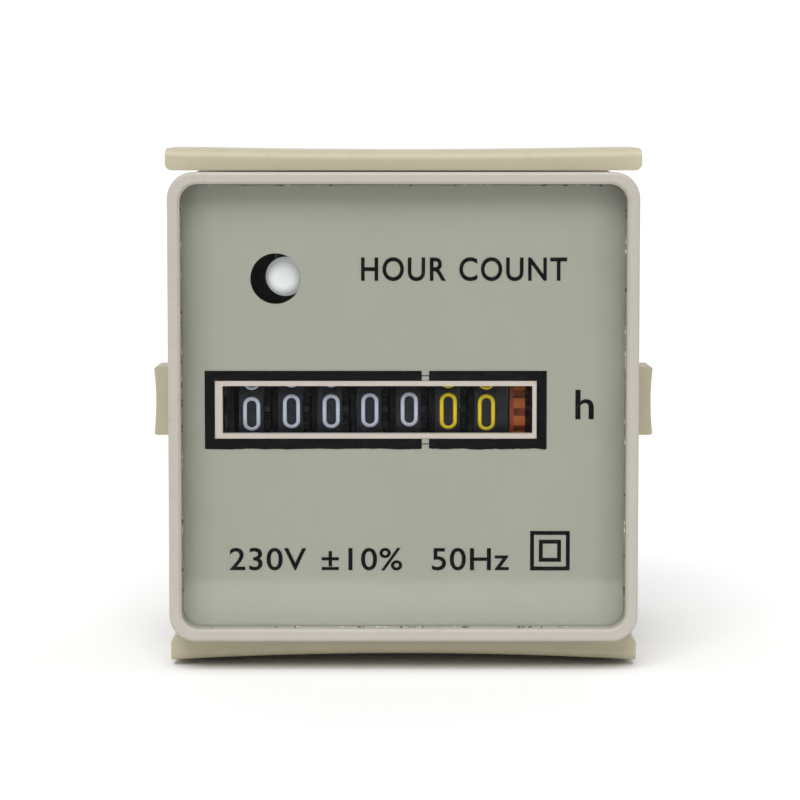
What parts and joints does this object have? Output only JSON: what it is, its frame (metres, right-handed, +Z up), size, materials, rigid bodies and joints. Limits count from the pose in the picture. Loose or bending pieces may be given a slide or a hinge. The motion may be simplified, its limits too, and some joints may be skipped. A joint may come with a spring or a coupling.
{
  "type": "electromechanical hour meter",
  "caption": "Square panel-mounted hour meter: mechanical number-wheel counter driven by a synchronous motor and gear train, held in its panel by a ratchet clamp frame.",
  "frame": {"origin": "centre of the panel cut-out, in the plane of the panel's front face where the bezel's flange seats", "axes": "+Y runs back through the cut-out along the body, +Z is up, +X is to the right seen from the front"},
  "size_m": [0.0524, 0.0526, 0.0538],
  "materials": {
    "case_grey": "warm grey moulding, slightly glossy and scuffed",
    "lens_clear": "clear acrylic, rubbed and scratched",
    "dial_print": "grey-green screen-printed plate",
    "surround_cream": "pale moulding",
    "cover_grey": "grey moulding",
    "tinned": "tinned",
    "zinc_steel": "zinc-plated sheet",
    "bright_steel": "ground steel",
    "screw_steel": "zinc-plated",
    "brass": "turned",
    "wheel_black": "black moulding with pale figures",
    "pinion_black": "black moulding",
    "indicator_orange": "orange moulding",
    "gear_natural": "natural acetal",
    "copper_winding": "enamelled copper wire",
    "bobbin_natural": "natural nylon",
    "ferrite": "ground ferrite",
    "board_green": "glass-fibre board",
    "lamp_milky": "milky diffused lens",
    "resistor_blue": "lacquered",
    "diode_black": "moulded epoxy",
    "capacitor_yellow": "potted box",
    "wire_red": "insulated wire",
    "clamp_grey": "warm grey moulding"
  },
  "bodies": {
    "case": {"case_shell": "case_grey", "front_lens": "lens_clear", "dial_plate": "dial_print", "window_surround": "surround_cream", "rear_cover": "cover_grey", "cover_screws": "screw_steel", "terminal_blade_left": "tinned", "terminal_blade_right": "tinned", "wheel_shaft": "bright_steel", "carry_shaft": "bright_steel", "counter_end_plate": "zinc_steel", "counter_tie_bars": "bright_steel", "shaft_clips": "screw_steel", "gear_arbors": "bright_steel", "train_plate_inner": "zinc_steel", "train_plate_outer": "zinc_steel", "plate_pillars": "brass", "plate_screws": "screw_steel", "motor_can": "zinc_steel", "motor_pole_plate": "zinc_steel", "motor_bushes": "brass", "motor_rivets": "screw_steel", "coil_bobbin": "bobbin_natural", "coil_winding": "copper_winding", "circuit_board": "board_green", "run_lamp": "lamp_milky", "run_lamp_leads": "tinned", "resistors": "resistor_blue", "diode": "diode_black", "component_leads": "tinned", "capacitor": "capacitor_yellow", "motor_wires": "wire_red"},
    "rotor": {"rotor_magnet": "ferrite", "rotor_hub": "gear_natural", "rotor_shaft": "bright_steel", "rotor_pinion": "brass"},
    "first_gear": {"gear_1": "gear_natural"},
    "second_gear": {"gear_2": "gear_natural"},
    "third_gear": {"gear_3": "gear_natural"},
    "hundredths_wheel": {"number_wheel_hundredths": "wheel_black", "indicator_wheel": "indicator_orange"},
    "output_gear": {"gear_4": "gear_natural", "output_pinion": "brass"},
    "clutch": {"clutch_pinion": "brass", "clutch_spring": "bright_steel"},
    "tenths_wheel": {"number_wheel_tenths": "wheel_black"},
    "units_wheel": {"number_wheel_units": "wheel_black"},
    "tens_wheel": {"number_wheel_tens": "wheel_black"},
    "hundreds_wheel": {"number_wheel_hundreds": "wheel_black"},
    "thousands_wheel": {"number_wheel_thousands": "wheel_black"},
    "ten_thousands_wheel": {"number_wheel_ten_thousands": "wheel_black"},
    "carry_1": {"carry_pinion_1": "pinion_black"},
    "carry_2": {"carry_pinion_2": "pinion_black"},
    "carry_3": {"carry_pinion_3": "pinion_black"},
    "carry_4": {"carry_pinion_4": "pinion_black"},
    "carry_5": {"carry_pinion_5": "pinion_black"},
    "carry_6": {"carry_pinion_6": "pinion_black"},
    "clamp": {"clamp_frame": "clamp_grey"},
    "left_pawl": {"pawl_left": "clamp_grey"},
    "right_pawl": {"pawl_right": "clamp_grey"}
  },
  "joints": [
    {"name": "rotor_spin", "type": "hinge", "parent": "case", "child": "rotor", "pos_m": [0, 0.0263, -0.00884], "axis": [1, 0, 0], "continuous": true},
    {"name": "first_gear_spin", "type": "hinge", "parent": "case", "child": "first_gear", "pos_m": [0, 0.0263, -0.00184], "axis": [1, 0, 0], "continuous": true},
    {"name": "second_gear_spin", "type": "hinge", "parent": "case", "child": "second_gear", "pos_m": [0, 0.0276, 0.00555], "axis": [1, 0, 0], "continuous": true},
    {"name": "third_gear_spin", "type": "hinge", "parent": "case", "child": "third_gear", "pos_m": [0, 0.02055, 0.00811], "axis": [1, 0, 0], "continuous": true},
    {"name": "hundredths_spin", "type": "hinge", "parent": "case", "child": "hundredths_wheel", "pos_m": [0, 0.0073, -0.00037], "axis": [1, 0, 0], "continuous": true},
    {"name": "output_gear_spin", "type": "hinge", "parent": "case", "child": "output_gear", "pos_m": [0, 0.01406, 0.00436], "axis": [1, 0, 0], "continuous": true},
    {"name": "clutch_spin", "type": "hinge", "parent": "case", "child": "clutch", "pos_m": [0, 0.02055, 0.00811], "axis": [1, 0, 0], "continuous": true},
    {"name": "tenths_spin", "type": "hinge", "parent": "case", "child": "tenths_wheel", "pos_m": [0, 0.0073, -0.00037], "axis": [1, 0, 0], "continuous": true},
    {"name": "units_spin", "type": "hinge", "parent": "case", "child": "units_wheel", "pos_m": [0, 0.0073, -0.00037], "axis": [1, 0, 0], "continuous": true},
    {"name": "tens_spin", "type": "hinge", "parent": "case", "child": "tens_wheel", "pos_m": [0, 0.0073, -0.00037], "axis": [1, 0, 0], "continuous": true},
    {"name": "hundreds_spin", "type": "hinge", "parent": "case", "child": "hundreds_wheel", "pos_m": [0, 0.0073, -0.00037], "axis": [1, 0, 0], "continuous": true},
    {"name": "thousands_spin", "type": "hinge", "parent": "case", "child": "thousands_wheel", "pos_m": [0, 0.0073, -0.00037], "axis": [1, 0, 0], "continuous": true},
    {"name": "ten_thousands_spin", "type": "hinge", "parent": "case", "child": "ten_thousands_wheel", "pos_m": [0, 0.0073, -0.00037], "axis": [1, 0, 0], "continuous": true},
    {"name": "carry_1_spin", "type": "hinge", "parent": "case", "child": "carry_1", "pos_m": [0, 0.01125, -0.0072], "axis": [1, 0, 0], "continuous": true},
    {"name": "carry_2_spin", "type": "hinge", "parent": "case", "child": "carry_2", "pos_m": [0, 0.01125, -0.0072], "axis": [1, 0, 0], "continuous": true},
    {"name": "carry_3_spin", "type": "hinge", "parent": "case", "child": "carry_3", "pos_m": [0, 0.01125, -0.0072], "axis": [1, 0, 0], "continuous": true},
    {"name": "carry_4_spin", "type": "hinge", "parent": "case", "child": "carry_4", "pos_m": [0, 0.01125, -0.0072], "axis": [1, 0, 0], "continuous": true},
    {"name": "carry_5_spin", "type": "hinge", "parent": "case", "child": "carry_5", "pos_m": [0, 0.01125, -0.0072], "axis": [1, 0, 0], "continuous": true},
    {"name": "carry_6_spin", "type": "hinge", "parent": "case", "child": "carry_6", "pos_m": [0, 0.01125, -0.0072], "axis": [1, 0, 0], "continuous": true},
    {"name": "clamp_slide", "type": "slide", "parent": "case", "child": "clamp", "axis": [0, 1, 0], "range_m": [0, 0.027]},
    {"name": "left_pawl_hinge", "type": "hinge", "parent": "clamp", "child": "left_pawl", "pos_m": [0.02337, 0.01325, 0], "axis": [0, 0, 1], "range_deg": [-2.5, 4], "stiffness_Nm_per_rad": 0.02},
    {"name": "right_pawl_hinge", "type": "hinge", "parent": "clamp", "child": "right_pawl", "pos_m": [-0.02337, 0.01325, 0], "axis": [0, 0, -1], "range_deg": [-2.5, 4], "stiffness_Nm_per_rad": 0.02}
  ],
  "couplings": [
    {"joint": "first_gear_spin", "follows": "rotor_spin", "ratio": -0.16667},
    {"joint": "second_gear_spin", "follows": "rotor_spin", "ratio": 0.033333},
    {"joint": "third_gear_spin", "follows": "rotor_spin", "ratio": -0.0066667},
    {"joint": "output_gear_spin", "follows": "hundredths_spin", "ratio": -2},
    {"joint": "clutch_spin", "follows": "hundredths_spin", "ratio": 10},
    {"joint": "tenths_spin", "follows": "hundredths_spin", "ratio": 0.1},
    {"joint": "units_spin", "follows": "hundredths_spin", "ratio": 0.01},
    {"joint": "tens_spin", "follows": "hundredths_spin", "ratio": 0.001},
    {"joint": "hundreds_spin", "follows": "hundredths_spin", "ratio": 0.0001},
    {"joint": "thousands_spin", "follows": "hundredths_spin", "ratio": 0.00001},
    {"joint": "ten_thousands_spin", "follows": "hundredths_spin", "ratio": 0.000001},
    {"joint": "carry_1_spin", "follows": "hundredths_spin", "ratio": -0.25},
    {"joint": "carry_2_spin", "follows": "hundredths_spin", "ratio": -0.025},
    {"joint": "carry_3_spin", "follows": "hundredths_spin", "ratio": -0.0025},
    {"joint": "carry_4_spin", "follows": "hundredths_spin", "ratio": -0.00025},
    {"joint": "carry_5_spin", "follows": "hundredths_spin", "ratio": -0.000025},
    {"joint": "carry_6_spin", "follows": "hundredths_spin", "ratio": -0.0000025}
  ]
}
